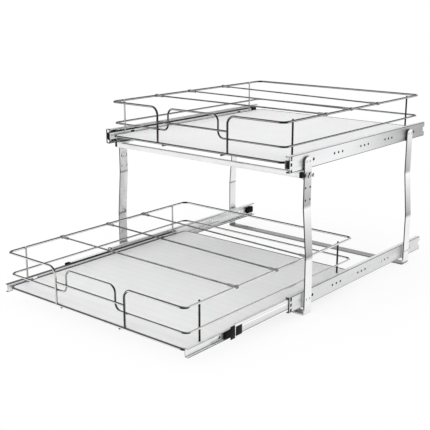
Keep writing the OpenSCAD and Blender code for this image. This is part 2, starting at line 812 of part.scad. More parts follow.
// The two clips of a divider: a sleeve on the rod and a hook over the rim wire
module divider_clips(tier, n) {
    half = basket_half[tier];
    bore = wire_r + hook_clearance;
    mouth = 2 * bore - 1.2;
    color("dimgray") for (s = [left, right]) {
        y = divider_y[tier][n] - s * divider_skew[tier][n] / 2;
        sleeve_end = s * (half - bore);
        sleeve_start = s * (half - bore - sleeve_len);
        difference() {
            union() {
                in_basket(tier)
                    bar_y(s * half, y - hook_w / 2, y + hook_w / 2, rim_rise, 2 * (bore + hook_wall));
                in_divider(tier, n)
                    bar_x(min(sleeve_start, sleeve_end), max(sleeve_start, sleeve_end), 0, rim_rise, sleeve_d);
            }
            in_basket(tier) {
                bar_y(s * half, y - 2 * hook_w, y + 2 * hook_w, rim_rise, 2 * bore);
                translate([s * half - mouth / 2, y - hook_w, rim_rise - bore - hook_wall - 1])
                    cube([mouth, 2 * hook_w, bore + hook_wall + 1]);
            }
            in_divider(tier, n) bar_x(-half + wire_r + hook_wall + 2 - eps, half - wire_r - hook_wall - 2 + eps,
                0, rim_rise, rod_d + 2 * fit);
        }
    }
}

front_leg_hoop();
rear_leg_hoop();
upper_crossbar();
crossbar_end_caps();
rail_brackets();
frame_fasteners();
rail_spacers();
rear_bumpers();
cabinet_member(lower, left);  // lower_left_cabinet_member
cabinet_member(lower, right);  // lower_right_cabinet_member
cabinet_member(upper, left);  // upper_left_cabinet_member
cabinet_member(upper, right);  // upper_right_cabinet_member
middle_member(lower, left);  // lower_left_middle_member
middle_member(lower, right);  // lower_right_middle_member
middle_member(upper, left);  // upper_left_middle_member
middle_member(upper, right);  // upper_right_middle_member
middle_stop(lower, left);  // lower_left_middle_stop
middle_stop(lower, right);  // lower_right_middle_stop
middle_stop(upper, left);  // upper_left_middle_stop
middle_stop(upper, right);  // upper_right_middle_stop
outer_ball_cage(lower, left);  // lower_left_outer_ball_cage
outer_ball_cage(lower, right);  // lower_right_outer_ball_cage
outer_ball_cage(upper, left);  // upper_left_outer_ball_cage
outer_ball_cage(upper, right);  // upper_right_outer_ball_cage
inner_ball_cage(lower, left);  // lower_left_inner_ball_cage
inner_ball_cage(lower, right);  // lower_right_inner_ball_cage
inner_ball_cage(upper, left);  // upper_left_inner_ball_cage
inner_ball_cage(upper, right);  // upper_right_inner_ball_cage
drawer_member(lower, left);  // lower_left_drawer_member
drawer_member(lower, right);  // lower_right_drawer_member
drawer_member(upper, left);  // upper_left_drawer_member
drawer_member(upper, right);  // upper_right_drawer_member
rim_wire(lower);  // lower_rim_wire
middle_wire(lower);  // lower_middle_wire
release_levers(lower);  // lower_release_levers
bottom_frame(lower);  // lower_bottom_frame
posts(lower);  // lower_posts
floor_wires(lower);  // lower_floor_wires
liner(lower);  // lower_liner
basket_screws(lower);  // lower_basket_screws
rim_wire(upper);  // upper_rim_wire
middle_wire(upper);  // upper_middle_wire
release_levers(upper);  // upper_release_levers
bottom_frame(upper);  // upper_bottom_frame
posts(upper);  // upper_posts
floor_wires(upper);  // upper_floor_wires
liner(upper);  // upper_liner
basket_screws(upper);  // upper_basket_screws
divider_rod(lower, 0);  // lower_front_divider_rod
divider_rod(lower, 1);  // lower_centre_divider_rod
divider_rod(lower, 2);  // lower_rear_divider_rod
divider_rod(upper, 0);  // upper_front_divider_rod
divider_rod(upper, 1);  // upper_centre_divider_rod
divider_rod(upper, 2);  // upper_rear_divider_rod
divider_clips(lower, 0);  // lower_front_divider_clips
divider_clips(lower, 1);  // lower_centre_divider_clips
divider_clips(lower, 2);  // lower_rear_divider_clips
divider_clips(upper, 0);  // upper_front_divider_clips
divider_clips(upper, 1);  // upper_centre_divider_clips
divider_clips(upper, 2);  // upper_rear_divider_clips
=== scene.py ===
import bpy
import json
import math
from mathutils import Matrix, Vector


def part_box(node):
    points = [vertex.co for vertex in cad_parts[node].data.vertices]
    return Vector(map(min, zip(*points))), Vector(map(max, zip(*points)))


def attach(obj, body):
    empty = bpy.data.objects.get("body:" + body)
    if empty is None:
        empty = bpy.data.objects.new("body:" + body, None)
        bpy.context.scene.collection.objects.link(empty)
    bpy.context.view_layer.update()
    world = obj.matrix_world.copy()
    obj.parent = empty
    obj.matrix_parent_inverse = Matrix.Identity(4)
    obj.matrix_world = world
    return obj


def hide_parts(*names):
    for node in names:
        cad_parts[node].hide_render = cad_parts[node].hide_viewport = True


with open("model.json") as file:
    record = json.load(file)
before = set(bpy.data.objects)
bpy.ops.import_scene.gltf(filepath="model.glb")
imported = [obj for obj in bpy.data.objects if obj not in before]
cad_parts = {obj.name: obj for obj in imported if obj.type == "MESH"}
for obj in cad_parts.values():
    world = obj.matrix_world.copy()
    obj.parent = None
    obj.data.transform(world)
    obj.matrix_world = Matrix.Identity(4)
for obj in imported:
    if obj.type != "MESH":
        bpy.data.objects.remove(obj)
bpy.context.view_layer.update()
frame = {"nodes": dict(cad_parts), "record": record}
nodes = frame["nodes"]
bodies = frame["record"]["behaviour"]["bodies"]
nodeBody = {node: body for body, members in bodies.items() for node in members}
print("frame loaded:", len(nodes), "nodes")


# An output socket that can be used in sums
class Signal:
    def __init__(self, tree, socket):
        self.tree = tree
        self.socket = socket

    def join(self, operation, first, second):
        node = self.tree.nodes.new("ShaderNodeMath")
        node.operation = operation
        for slot, value in zip(node.inputs, (first, second)):
            if isinstance(value, Signal):
                self.tree.links.new(value.socket, slot)
            else:
                slot.default_value = value
        return Signal(self.tree, node.outputs[0])

    def __add__(self, other):
        return self.join("ADD", self, other)

    def __radd__(self, other):
        return self.join("ADD", other, self)

    def __sub__(self, other):
        return self.join("SUBTRACT", self, other)

    def __rsub__(self, other):
        return self.join("SUBTRACT", other, self)

    def __mul__(self, other):
        return self.join("MULTIPLY", self, other)

    def __rmul__(self, other):
        return self.join("MULTIPLY", other, self)

    def __truediv__(self, other):
        return self.join("DIVIDE", self, other)

    def __pow__(self, other):
        return self.join("POWER", self, other)

    def highest(self, other):
        return self.join("MAXIMUM", self, other)


# A material's or the world's node tree, filled node by node
class Shader:
    def __init__(self, owner):
        owner.use_nodes = True
        self.tree = owner.node_tree
        self.tree.nodes.clear()

    def add(self, kind, settings=None, sockets=None, out=0):
        node = self.tree.nodes.new("ShaderNode" + kind)
        for name, value in (settings or {}).items():
            if name == "stops":
                while len(node.color_ramp.elements) < len(value):
                    node.color_ramp.elements.new(0.5)
                for element, (place, shade) in zip(node.color_ramp.elements, value):
                    element.position = place
                    element.color = (*shade, 1)
            else:
                setattr(node, name, value)
        for name, value in (sockets or {}).items():
            if isinstance(value, Signal):
                self.tree.links.new(value.socket, node.inputs[name])
            else:
                node.inputs[name].default_value = value
        return Signal(self.tree, node.outputs[out]) if len(node.outputs) else None

    def blend(self, amount, first, second):
        return self.add("Mix", {"data_type": "RGBA"}, {0: amount, 6: first, 7: second}, 2)

    def ramp(self, value, *stops):
        return self.add("ValToRGB", {"stops": stops}, {"Fac": value})

    def place(self, scale=(1, 1, 1)):
        return self.add("Mapping", None, {"Vector": self.add("TexCoord", out=3), "Scale": scale})

    def noise(self, size, scale=(1, 1, 1), detail=3.0):
        return self.add("TexNoise", None, {"Vector": self.place(scale), "Scale": 1 / size, "Detail": detail})

    # X, Y or Z of the place on the object, or of the direction that the surface faces
    def part(self, axis, facing=False):
        return self.add("SeparateXYZ", None, {0: self.add("TexCoord", out=1 if facing else 3)}, axis)

    # How far the surface faces a direction, the same for its mirror images in X and in Y
    def towards(self, direction):
        along, across, up = direction
        here = self.add("TexCoord", out=1)
        level = self.add("VectorMath", {"operation": "ABSOLUTE"}, {0: here})
        side = self.add("VectorMath", {"operation": "DOT_PRODUCT"}, {0: level, 1: (along, across, 0)}, 1)
        return side + self.part(2, facing=True) * up

    def shaded(self, colour, amount):
        return self.add("VectorMath", {"operation": "SCALE"}, {0: colour, "Scale": amount})

    # Painted shade from ambient occlusion: 1 in the open, falling towards 1 - depth in slots, holes and
    # narrow gaps
    def paintedCavityShade(self, reach, depth, power=1.0):
        openness = self.add("AmbientOcclusion", {"samples": 6}, {"Distance": reach}, 1)
        return openness ** power * depth + (1 - depth)

    def smooth(self, value, low, high):
        return self.add("MapRange", {"interpolation_type": "SMOOTHSTEP"},
                        {"Value": value, "From Min": low, "From Max": high})


def grey(value):
    return (value, value, value)


# Every finish ends in one Principled shader, with a bump where there is one
def makeFinish(name, base, rough, metal=0.0, bump=None, depth=0.0, **constants):
    material = bpy.data.materials.new(name)
    shader = Shader(material)
    baseColor, roughness = base(shader), rough(shader)
    sockets = {"Base Color": baseColor, "Roughness": roughness}
    sockets["Metallic"] = metal(shader) if callable(metal) else metal
    if bump:
        height = bump(shader)
        sockets["Normal"] = shader.add("Bump", None, {"Height": height, "Distance": depth, "Strength": 1})
    for key, value in constants.items():
        sockets[key.replace("_", " ")] = value
    surface = shader.add("BsdfPrincipled", None, sockets)
    shader.add("OutputMaterial", None, {"Surface": surface})
    return material


# A plated wire or rod: cloudy gloss over a faintly uneven surface
def plated(name, base, rough):
    return makeFinish(
        name, base,
        lambda s: s.noise(0.004) * 0.08 + rough,
        metal=0.9,
        bump=lambda s: s.noise(0.003),
        depth=0.00003,
    )


# A plated strap or bar with fine lines along its length
def brushed(name, base, rough, metal, grain):
    return makeFinish(
        name, base,
        lambda s: s.noise(0.0015, grain) * 0.10 + rough,
        metal=metal,
        bump=lambda s: s.noise(0.0015, grain),
        depth=0.00001,
    )


# A moulded plastic with a fine grain
def moulded(name, base, rough, **constants):
    return makeFinish(
        name, base,
        lambda s: s.noise(0.002) * 0.12 + rough,
        bump=lambda s: s.noise(0.0006, detail=1.0),
        depth=0.00004,
        **constants,
    )


wireFinishAndPaintedReflection = {
    # painted reflection, as shades from the underside to the top
    "lower": ((0.0, grey(0.04)), (0.20, grey(0.10)), (0.29, grey(0.95)), (0.60, grey(1.0)),
              (0.70, grey(0.07)), (0.85, grey(0.03)), (1.0, grey(0.09))),
    "upper": ((0.0, grey(0.03)), (0.32, grey(0.05)), (0.40, grey(0.75)), (0.50, grey(0.90)),
              (0.58, grey(0.05)), (0.85, grey(0.03)), (1.0, grey(0.09))),
    "right": ((0.0, grey(0.06)), (0.20, grey(0.25)), (0.29, grey(0.95)), (0.60, grey(1.0)),
              (0.70, grey(0.34)), (0.85, grey(0.45)), (1.0, grey(0.60))),
    "rightFrom": (0.254, 0.262),
    "tiersPart": (0.2, 0.3),
    "dark": (0.68, 0.73, 0),  # the direction that an upright or a bend faces, where a dark reflection is painted
    "darkFrom": (0.735, 0.80),
    "darkness": 0.98,
    "loopFrom": (0.05, 0.10),  # the painted dark reflection stays paler on the lower left loop between these places
    "loopTo": (0.20, 0.23),
    "loopPale": 0.62,
    "cloud": 0.24,
    "gap": 0.006,
    "rough": 0.14,
}


# Plated wire with its surroundings' reflection painted in: dark on top, bright on its flank, paler on the
# lower right, black where it is upright or bends round a corner; painted shade in narrow gaps
def chromedWire():
    def base(s):
        rise = s.part(2, facing=True) * 0.5 + 0.5
        raised = s.smooth(s.part(2), *wireFinishAndPaintedReflection["tiersPart"])
        side = s.smooth(s.part(0), *wireFinishAndPaintedReflection["rightFrom"])
        low = s.blend(side, s.ramp(rise, *wireFinishAndPaintedReflection["lower"]), s.ramp(rise, *wireFinishAndPaintedReflection["right"]))
        band = s.blend(raised, low, s.ramp(rise, *wireFinishAndPaintedReflection["upper"]))
        place = 0 - s.part(0)
        loop = s.smooth(place, *wireFinishAndPaintedReflection["loopFrom"]) * (1 - s.smooth(place, *wireFinishAndPaintedReflection["loopTo"]))
        darkness = wireFinishAndPaintedReflection["darkness"] - loop * (1 - raised) * wireFinishAndPaintedReflection["loopPale"]
        bend = s.smooth(s.towards(wireFinishAndPaintedReflection["dark"]), *wireFinishAndPaintedReflection["darkFrom"])
        cloud = s.noise(0.02) * wireFinishAndPaintedReflection["cloud"] + (1 - wireFinishAndPaintedReflection["cloud"] / 2)
        return s.shaded(band, cloud * (1 - bend * darkness) * s.paintedCavityShade(wireFinishAndPaintedReflection["gap"], 0.5))

    return plated("chromedWire", base, wireFinishAndPaintedReflection["rough"])


postFinishAndPaintedReflection = {
    "left": grey(0.62),
    "right": grey(0.035),
    "middle": (-0.1, 0.1),
    "flank": (0.95, 0.3, 0),
    "flankFrom": (0.75, 0.98),
    "flankDark": 0.45,
    "rough": 0.16,
}


# Painted reflection of what stands beside the posts: pale on the left, dark on the right, darker on their
# flanks
def chromedPost():
    def base(s):
        right = s.smooth(s.part(0), *postFinishAndPaintedReflection["middle"])
        shade = s.blend(right, postFinishAndPaintedReflection["left"] + (1,), postFinishAndPaintedReflection["right"] + (1,))
        flank = s.smooth(s.towards(postFinishAndPaintedReflection["flank"]), *postFinishAndPaintedReflection["flankFrom"])
        edge = 1 - flank * postFinishAndPaintedReflection["flankDark"]
        return s.shaded(shade, edge * (s.noise(0.01, (1, 1, 0.3)) * 0.5 + 0.75))

    return plated("chromedPost", base, postFinishAndPaintedReflection["rough"])


rodFinishAndPaintedGlint = {
    "dull": grey(0.08),
    "bright": grey(0.16),
    "glint": (0, 0.5, 0.86),
    "glintFrom": (0.93, 0.99),
    "glintGain": 3,
    "rough": 0.16,
}


# Painted highlight: a glint where the rod faces up, over an uneven dull tone
def chromedRod():
    def base(s):
        shade = s.ramp(s.noise(0.02), (0.35, rodFinishAndPaintedGlint["dull"]), (0.65, rodFinishAndPaintedGlint["bright"]))
        glint = s.smooth(s.towards(rodFinishAndPaintedGlint["glint"]), *rodFinishAndPaintedGlint["glintFrom"])
        return s.shaded(shade, glint * rodFinishAndPaintedGlint["glintGain"] + 1)

    return plated("chromedRod", base, rodFinishAndPaintedGlint["rough"])


strapFinishAndPaintedLight = {
    # painted reflection, as shades by height up to the top: floor piece, lower leg, bend, sloping leg, bend,
    # upper leg
    "inside": ((0.0, grey(0.90)), (0.298, grey(0.86)), (0.305, grey(0.28)), (0.315, grey(0.92)),
               (0.545, grey(0.90)), (0.555, grey(0.36)), (0.565, grey(0.78)), (0.66, grey(0.84)),
               (0.74, grey(0.98)), (1.0, grey(0.98))),
    "outside": ((0.0, grey(0.86)), (0.10, grey(0.93)), (0.285, grey(0.90)), (0.305, grey(0.30)),
                (0.325, grey(0.46)), (0.545, grey(0.99)), (0.562, grey(0.44)), (0.68, grey(0.62)),
                (0.78, grey(0.93)), (1.0, grey(0.98))),
    "top": 0.43,
    "insideRear": 0.95,
    "insideFront": 0.84,
    "edge": 0.10,
    "floor": 0.008,
    "rearFloor": 0.3,
    "gap": 0.005,
    "rough": 0.17,
}


# Painted shade: the strap's narrow edges, and the rear hoop's floor piece, are darker than its faces
def strapEdge(s):
    across = s.part(0, facing=True)
    floor = strapFinishAndPaintedLight["floor"]
    raised = s.smooth(s.part(2), floor, 2 * floor)
    flank = 1 - s.smooth(1 - across * across, 0.4, 0.8) * raised * (1 - strapFinishAndPaintedLight["edge"])
    rearFloor = s.smooth(s.part(1), 0.0, 0.1) * s.smooth(floor - s.part(2), 0.0, 0.002)
    return flank * (1 - rearFloor * (1 - strapFinishAndPaintedLight["rearFloor"]))


def chromedStrap():
    def base(s):
        # painted reflection by height, one ramp for outer and one for inner faces, the front inner faces
        # darker; painted shade in gaps
        height = s.part(2) / strapFinishAndPaintedLight["top"]
        outer = s.smooth(s.part(0) * s.part(0, facing=True), -0.05, 0.05)
        rear, front = strapFinishAndPaintedLight["insideRear"], strapFinishAndPaintedLight["insideFront"]
        ahead = s.smooth(0 - s.part(1), -0.1, 0.1) * (front - rear) + rear
        inner = s.shaded(s.ramp(height, *strapFinishAndPaintedLight["inside"]), ahead)
        shade = s.blend(outer, inner, s.ramp(height, *strapFinishAndPaintedLight["outside"]))
        cloud = s.noise(0.05) * 0.16 + 0.92
        return s.shaded(shade, cloud * strapEdge(s) * s.paintedCavityShade(strapFinishAndPaintedLight["gap"], 0.75))

    return brushed(
        "chromedStrap", base, strapFinishAndPaintedLight["rough"],
        lambda s: s.smooth(s.part(2), 0.004, 0.02) * 0.6 + 0.25,
        (1, 1, 0.04),
    )


barFinish = {"dull": grey(0.87), "bright": grey(0.94), "gap": 0.004, "rough": 0.24, "metal": 0.8}


# Uneven tone, with painted shade in narrow gaps
def chromedBar():
    def base(s):
        shade = s.ramp(s.noise(0.05), (0.35, barFinish["dull"]), (0.65, barFinish["bright"]))
        return s.shaded(shade, s.paintedCavityShade(barFinish["gap"], 0.7))

    return brushed("chromedBar", base, barFinish["rough"], barFinish["metal"], (0.04, 1, 1))


slides = {"tierPitch": 0.301, "height": 0.035, "webHeight": 0.0274}
zincFinishAndPaintedLight = {
    "bright": (0.91, 0.915, 0.92),
    "dull": (0.84, 0.845, 0.85),
    "rough": 0.3,
    "metal": 0.55,
    "gap": 0.0035,
    "grain": (1, 0.02, 1),
    # painted shade on faces turned down, and on the left slides' top and front end
    "under": 0.22,
    "leftFrom": (0.20, 0.22),
    "leftTop": 0.12,
    "leftEnd": 0.08,
    "endLength": 0.0045,
    "lines": (0.32, 0.07),  # painted shade: the dark lines along a rail's top and bottom edge
    "tiersPart": (0.2, 0.3),
    # painted shade on outer faces: darker to the rear on the upper tier, darker all along the lower rail
    "rearFrom": (-0.12, 0.34),
    "rear": 0.42,
    "lowRail": 0.84,
    # across a middle member's web: the painted shade of each band, with the painted dark folds between them
    "webBands": ((0.0, grey(0.35)), (0.06, grey(0.95)), (0.22, grey(0.98)), (0.235, grey(0.05)),
                 (0.265, grey(0.05)), (0.28, grey(0.66)), (0.62, grey(0.82)), (0.64, grey(0.55)),
                 (0.66, grey(0.96)), (0.84, grey(0.96)), (0.855, grey(0.30)), (0.88, grey(0.95)),
                 (1.0, grey(0.98))),
    "webGap": 0.010,
}


# The slides' steel, with painted shade on faces turned down and in gaps. depth: how dark the painted gap
# shade is;
# end: the painted shade of front ends; rim: how far the painted edge lines lie from the slide's axis; banded:
# painted shade on the web's folds; faded: painted shade, darker to the rear; topped: a painted dark left top
def zincSteel(name, depth=0.6, banded=False, end=1.0, rim=None, faded=False, topped=False):
    def base(s):
        grain = s.noise(0.04, (1, 0.15, 1))
        shade = s.ramp(grain, (0.3, zincFinishAndPaintedLight["dull"]), (0.7, zincFinishAndPaintedLight["bright"]))
        below = s.smooth(s.part(2, facing=True) * -1, 0.6, 0.9)
        across = s.part(0, facing=True)
        level = s.add("Math", {"operation": "MODULO"}, {0: s.part(2), 1: slides["tierPitch"]})
        amount = (1 - below * (1 - zincFinishAndPaintedLight["under"])) * s.paintedCavityShade(zincFinishAndPaintedLight["gap"], depth)
        left = s.smooth(0 - s.part(0), *zincFinishAndPaintedLight["leftFrom"])
        outer = s.smooth(s.part(0) * across, 0.0, 0.05)
        if topped:
            above = s.smooth(s.part(2, facing=True), 0.5, 0.9)
            amount = amount * (1 - above * left * (1 - zincFinishAndPaintedLight["leftTop"]))
        if end < 1:
            amount = amount * (1 - s.smooth(s.part(1, facing=True) * -1, 0.5, 0.8) * (1 - end))
        if rim:
            top, bottom = zincFinishAndPaintedLight["lines"]
            side = s.smooth(across * across, 0.03, 0.2)
            above = s.smooth(level - slides["height"], rim - 0.0003, rim + 0.0003) * side
            beneath = s.smooth(slides["height"] - level, rim - 0.0009, rim - 0.0003) * side
            amount = amount * (1 - above * (1 - top)) * (1 - beneath * (1 - bottom))
        if faded:
            raised = s.smooth(s.part(2), *zincFinishAndPaintedLight["tiersPart"])
            fade = raised * s.smooth(s.part(1), *zincFinishAndPaintedLight["rearFrom"]) * (1 - zincFinishAndPaintedLight["rear"])
            amount = amount * (1 - outer * (fade + (1 - raised) * (1 - zincFinishAndPaintedLight["lowRail"])))
            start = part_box("upper_left_cabinet_member")[0].y + zincFinishAndPaintedLight["endLength"]
            tip = s.smooth(start - s.part(1), 0.0, 0.001)
            amount = amount * (1 - tip * left * (1 - zincFinishAndPaintedLight["leftEnd"]))
        if banded:
            amount = amount * (1 - outer * (1 - s.paintedCavityShade(zincFinishAndPaintedLight["webGap"], 0.98, 6.0)))
            place = (level - slides["height"]) / slides["webHeight"] + 0.5
            band = s.ramp(place, *zincFinishAndPaintedLight["webBands"])
            shade = s.blend(s.smooth(across * across, 0.5, 0.8), shade, band)
        return s.shaded(shade, amount)

    return makeFinish(
        name, base,
        lambda s: s.noise(0.0012, zincFinishAndPaintedLight["grain"]) * 0.14 + zincFinishAndPaintedLight["rough"],
        metal=zincFinishAndPaintedLight["metal"],
        bump=lambda s: s.noise(0.0012, zincFinishAndPaintedLight["grain"]),
        depth=0.00002,
    )


screwFinish = {
    "face": grey(0.88),
    "ringShade": grey(0.03),
    "ring": 0.2774,  # the washers end at this distance from the middle
    "height": 0.307,
    "reach": 0.008,
    "gap": 0.002,
    "rough": 0.25,
}


# Plated screws: bright faces, dark rings at the washers, painted shade round the ends where the sides slope,
# and painted shade in gaps
def screwSteel():
    def base(s):
        across = s.part(0, facing=True)
        out = s.add("Math", {"operation": "ABSOLUTE"}, {0: s.part(0)})
        away = s.add("Math", {"operation": "ABSOLUTE"}, {0: s.part(2) - screwFinish["height"]})
        near = s.smooth(screwFinish["reach"] - away, 0.0, 0.001)
        washer = s.smooth(screwFinish["ring"] - out, 0.0, 0.0002) * near
        facing = across * across
        bevel = s.smooth(facing, 0.1, 0.3) * (1 - s.smooth(facing, 0.75, 0.9))
        dark = washer.highest(bevel)
        shade = s.blend(dark, screwFinish["face"] + (1,), screwFinish["ringShade"] + (1,))
        return s.shaded(shade, (s.noise(0.002) * 0.2 + 0.9) * s.paintedCavityShade(screwFinish["gap"], 0.95, 1.5))

    return makeFinish(
        "screwSteel", base,
        lambda s: s.noise(0.001) * 0.15 + screwFinish["rough"],
        metal=0.7,
        bump=lambda s: s.noise(0.0008),
        depth=0.00002,
    )


def darkSteel():
    return makeFinish(
        "darkSteel",
        lambda s: s.ramp(s.noise(0.008), (0.3, grey(0.06)), (0.7, grey(0.13))),
        lambda s: s.noise(0.003) * 0.2 + 0.35,
        metal=0.8,
    )


# Uneven tone, with painted shade in narrow gaps
def mouldedPlastic(name, low, high, rough):
    def base(s):
        return s.shaded(s.ramp(s.noise(0.01), (0.3, low), (0.7, high)), s.paintedCavityShade(0.004, 0.5))

    return moulded(name, base, rough, Specular_IOR_Level=0.12)


twoTone = {
    "pale": (grey(0.62), grey(0.72)),
    "spacerPale": (grey(0.50), grey(0.60)),
    "dark": (grey(0.011), grey(0.02)),
    "curl": (0.0045, 0.0040),  # the lever's curl starts this far under the slide's axis
    "spacersPart": (0.19, 0.20),
    "leverRough": 0.4,
    "spacerRough": 0.42,
}


def speckled(s, shades):
    low, high = shades
    return s.ramp(s.noise(0.01), (0.3, low), (0.7, high))


# A release lever's strip is pale, and its curled end black
def leverPlastic():
    def base(s):
        level = s.add("Math", {"operation": "MODULO"}, {0: s.part(2), 1: slides["tierPitch"]})
        low, high = (slides["height"] - drop for drop in twoTone["curl"])
        return s.blend(s.smooth(level, low, high), speckled(s, twoTone["pale"]), speckled(s, twoTone["dark"]))

    return moulded("leverPlastic", base, twoTone["leverRough"])


# The lower spacers are pale and the upper ones black, with painted shade in narrow gaps
def spacerPlastic():
    def base(s):
        raised = s.smooth(s.part(2), *twoTone["spacersPart"])
        shade = s.blend(raised, speckled(s, twoTone["spacerPale"]), speckled(s, twoTone["dark"]))
        return s.shaded(shade, s.paintedCavityShade(0.004, 0.4))

    return moulded("spacerPlastic", base, twoTone["spacerRough"])


linerFinish = {
    "bright": grey(0.88),
    "dull": grey(0.855),
    "wireShade": 0.035,
    "spaces": 23,
    "margin": 0.003,
    "stripe": (0.03, 0.16),
    "gap": 0.012,
    "rough": 0.42,
}


# Painted shade: the cross wires show through the frosted sheet as soft grey stripes; painted shade in gaps
def frostedSheet(name, tier):
    low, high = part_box(f"{tier}_floor_wires")
    start = low.y + linerFinish["margin"]
    pitch = (high.y - low.y - 2 * linerFinish["margin"]) / linerFinish["spaces"]

    def base(s):
        shade = s.ramp(s.noise(0.06), (0.3, linerFinish["dull"]), (0.7, linerFinish["bright"]))
        wave = s.add("Math", {"operation": "PINGPONG"}, {0: (s.part(1) - start) / pitch, 1: 0.5})
        stripe = 1 - s.smooth(wave, *linerFinish["stripe"])
        return s.shaded(shade, (1 - stripe * linerFinish["wireShade"]) * s.paintedCavityShade(linerFinish["gap"], 0.25))

    return makeFinish(
        name, base,
        lambda s: s.noise(0.004) * 0.1 + linerFinish["rough"],
        bump=lambda s: s.noise(0.0012, detail=2.0),
        depth=0.00006,
        Subsurface_Weight=0.08,
        Subsurface_Scale=0.004,
    )


finishes = {
    "chromed_wire": chromedWire(),
    "chromed_strap": chromedStrap(),
    "zinc_steel": zincSteel("zincSteel"),
    "dark_steel": darkSteel(),
    "black_plastic": mouldedPlastic("blackPlastic", grey(0.002), grey(0.006), 0.42),
    "grey_plastic": mouldedPlastic("greyPlastic", grey(0.20), grey(0.30), 0.35),
    "black_rubber": mouldedPlastic("blackRubber", grey(0.002), grey(0.007), 0.7),
}
ownFinishes = {
    "upper_crossbar": chromedBar(),
    "release_levers": leverPlastic(),
    "posts": chromedPost(),
    "divider_rod": chromedRod(),
    "cabinet_member": zincSteel("railSteel", depth=0.8, end=0.04, rim=0.0160, faded=True),
    "middle_member": zincSteel("middleSteel", banded=True),
    "drawer_member": zincSteel("drawerSteel", depth=0.35, end=0.22, rim=0.0078, topped=True),
    "frame_fasteners": screwSteel(),
    "rail_spacers": spacerPlastic(),
    "lower_liner": frostedSheet("lowerFrostedSheet", "lower"),
    "upper_liner": frostedSheet("upperFrostedSheet", "upper"),
}
slotOf = {entry["node"]: entry["material_slot"] for entry in frame["record"]["subparts"]}


def finishOf(node):
    for ending, finish in ownFinishes.items():
        if node.endswith(ending):
            return finish
    return finishes[slotOf[node]]


for node in nodes:
    mesh = nodes[node].data
    mesh.materials.clear()
    mesh.materials.append(finishOf(node))
print("finishes made:", len(finishes) + len(ownFinishes))


def camel(node):
    first, *rest = node.split("_")
    return first + "".join(word.title() for word in rest)


def edit(piece):
    bpy.ops.object.select_all(action="DESELECT")
    bpy.context.view_layer.objects.active = piece
    piece.select_set(True)
    bpy.ops.object.mode_set(mode="EDIT")
    bpy.ops.mesh.select_all(action="SELECT")


smoothAngle = 35


# Ends the edit, and puts the piece in its node's place
def settle(piece, node):
    bpy.ops.object.mode_set(mode="OBJECT")
    bpy.ops.object.shade_smooth_by_angle(angle=math.radians(smoothAngle))
    piece.data.materials.clear()
    piece.data.materials.append(finishOf(node))
    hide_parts(node)
    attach(piece, nodeBody[node])
    return piece


# A merged copy of a node's shape, with its sharp edges eased by a small bevel
def eased(node, edge):
    piece = bpy.data.objects.new(camel(node), nodes[node].data.copy())
    bpy.context.scene.collection.objects.link(piece)
    edit(piece)
    bpy.ops.mesh.remove_doubles(threshold=0.000002)
    bpy.ops.mesh.dissolve_limited(angle_limit=math.radians(0.2))
    bpy.ops.mesh.normals_make_consistent(inside=False)
    bpy.ops.object.mode_set(mode="OBJECT")
    if edge:
        bevel = piece.modifiers.new("easedEdges", "BEVEL")
        bevel.width = edge
        bevel.segments = 2
        bevel.limit_method = "ANGLE"
        bevel.angle_limit = math.radians(50)
        bevel.use_clamp_overlap = True
        bpy.ops.object.modifier_apply(modifier="easedEdges")
    return settle(piece, node)


easedEdge = {
    "front_leg_hoop": 0.0004,
    "rear_leg_hoop": 0.0004,
    "upper_crossbar": 0.0005,
    "crossbar_end_caps": 0.0006,
    "rail_brackets": 0.0004,
    "rail_spacers": 0.0006,
    "rear_bumpers": 0.0008,
    "rim_wire": 0.0,
    "middle_wire": 0.0,
    "bottom_frame": 0.0,
    "posts": 0.0005,
    "floor_wires": 0.0,
    "divider_rod": 0.0,
    "divider_clips": 0.0003,
    "middle_stop": 0.0004,
    "cabinet_member": 0.0001,
    "middle_member": 0.0001,
    "drawer_member": 0.0001,
    "release_levers": 0.0002,
}
for node in sorted(nodes):
    for ending, edge in easedEdge.items():
        if node.endswith(ending):
            eased(node, edge)
print("edges eased")


# Each ring of a profile: distance from the axis, and height above the seat, in mm
screwShape = {
    "profile": ((2.0, 8.5), (2.2, 8.4), (3.9, 7.0), (3.9, 1.3), (4.2, 1.1), (4.2, 0.0),
                (2.5, 0.0), (2.5, -6.5)),
    "recess": (0.6, 2.4, 1.2),
    "taper": 0.6,
    "sides": 40,
}


def rivetShape(length):
    rings = ((0.9, -0.45), (1.3, -0.05), (2.0, 0.0), (2.5, -0.4), (2.5, -length))
    return {"profile": rings, "sides": 40}


# Extruded ring by ring from its outer end down
def turned(name, shape):
    (radius, height), *rings = [(r / 1000, h / 1000) for r, h in shape["profile"]]
    bpy.ops.object.select_all(action="DESELECT")
    bpy.ops.mesh.primitive_circle_add(
        vertices=shape["sides"], radius=radius, fill_type="NGON", location=(0, 0, height)
    )
    piece = bpy.context.object
    piece.name = name
    bpy.ops.object.transform_apply(location=True, rotation=True, scale=True)
    edit(piece)
    for nextRadius, nextHeight in rings:
        bpy.ops.mesh.extrude_region_move(TRANSFORM_OT_translate={"value": (0, 0, nextHeight - height)})
        grow = nextRadius / radius
        bpy.ops.transform.resize(value=(grow, grow, 1), center_override=(0, 0, nextHeight))
        radius, height = nextRadius, nextHeight
    bpy.ops.mesh.select_all(action="SELECT")
    bpy.ops.mesh.normals_make_consistent(inside=False)
    bpy.ops.object.mode_set(mode="OBJECT")
    if "recess" in shape:
        cutRecess(piece, shape)
    return piece


